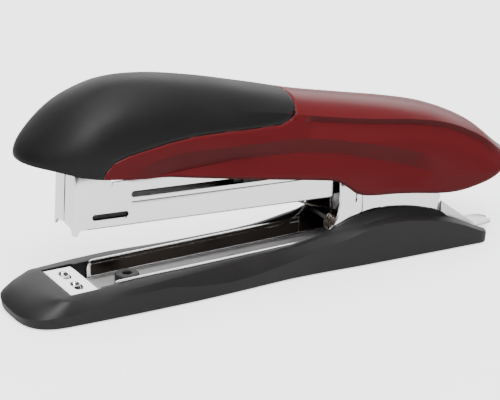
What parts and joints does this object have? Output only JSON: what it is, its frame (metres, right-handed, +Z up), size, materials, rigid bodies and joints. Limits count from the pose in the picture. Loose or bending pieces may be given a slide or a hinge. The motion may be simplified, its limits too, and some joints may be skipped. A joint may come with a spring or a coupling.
{
  "type": "stapler",
  "caption": "Full-strip desk stapler with a moulded handle, soft grip, steel magazine, anvil and rear hinge.",
  "frame": {"origin": "on the table under the middle of the stapler, with the pads on Z = 0", "axes": "+X to the rear hinge, the nose points to -X; +Y to the stapler's right side seen from the rear; +Z up"},
  "size_m": [0.1784, 0.036, 0.071],
  "materials": {
    "base_plastic": "fine matte grain",
    "grip_rubber": "soft-touch matte",
    "cover_plastic": "high gloss",
    "chrome_steel": "bright plated",
    "satin_steel": "satin",
    "spring_steel": "drawn wire",
    "staple_wire": "galvanised",
    "pad_rubber": "matte"
  },
  "bodies": {
    "base": {"base_cover": "base_plastic", "base_pads": "pad_rubber", "base_channel": "chrome_steel", "anvil_plate": "chrome_steel", "hinge_bracket": "chrome_steel", "staple_remover": "chrome_steel", "channel_rivets": "satin_steel", "magazine_bumper": "pad_rubber", "hinge_pin": "satin_steel", "spring_pin": "satin_steel", "lift_spring": "spring_steel"},
    "magazine": {"magazine_housing": "chrome_steel", "staple_rail": "satin_steel", "staple_strip": "staple_wire", "blade_guide": "satin_steel", "guide_rod": "satin_steel", "rod_stop": "satin_steel", "pusher_spring": "spring_steel", "hinge_bushes": "base_plastic"},
    "pusher": {"pusher": "satin_steel"},
    "handle": {"handle_cover": "cover_plastic", "handle_grip": "grip_rubber", "cover_screws": "satin_steel", "handle_frame": "satin_steel", "driver_blade": "satin_steel", "blade_rivet": "satin_steel", "handle_spring": "spring_steel", "spring_rivet": "satin_steel"}
  },
  "joints": [
    {"name": "magazine_pivot", "type": "hinge", "parent": "base", "child": "magazine", "pos_m": [0.05425, 0, 0.016], "axis": [0, 1, 0], "range_deg": [-7.5, 0], "stiffness_Nm_per_rad": 1, "springref_deg": 14.32, "deforming": ["lift_spring"]},
    {"name": "handle_pivot", "type": "hinge", "parent": "magazine", "child": "handle", "pos_m": [0.05425, 0, 0.016], "axis": [0, 1, 0], "range_deg": [-3.7, 35], "stiffness_Nm_per_rad": 2, "springref_deg": 1.09, "deforming": ["handle_spring"]},
    {"name": "pusher_slide", "type": "slide", "parent": "magazine", "child": "pusher", "axis": [0.9992, 0, -0.0401], "range_m": [0, 0.01], "stiffness_N_per_m": 60, "springref_m": -0.05, "deforming": ["pusher_spring"]}
  ]
}
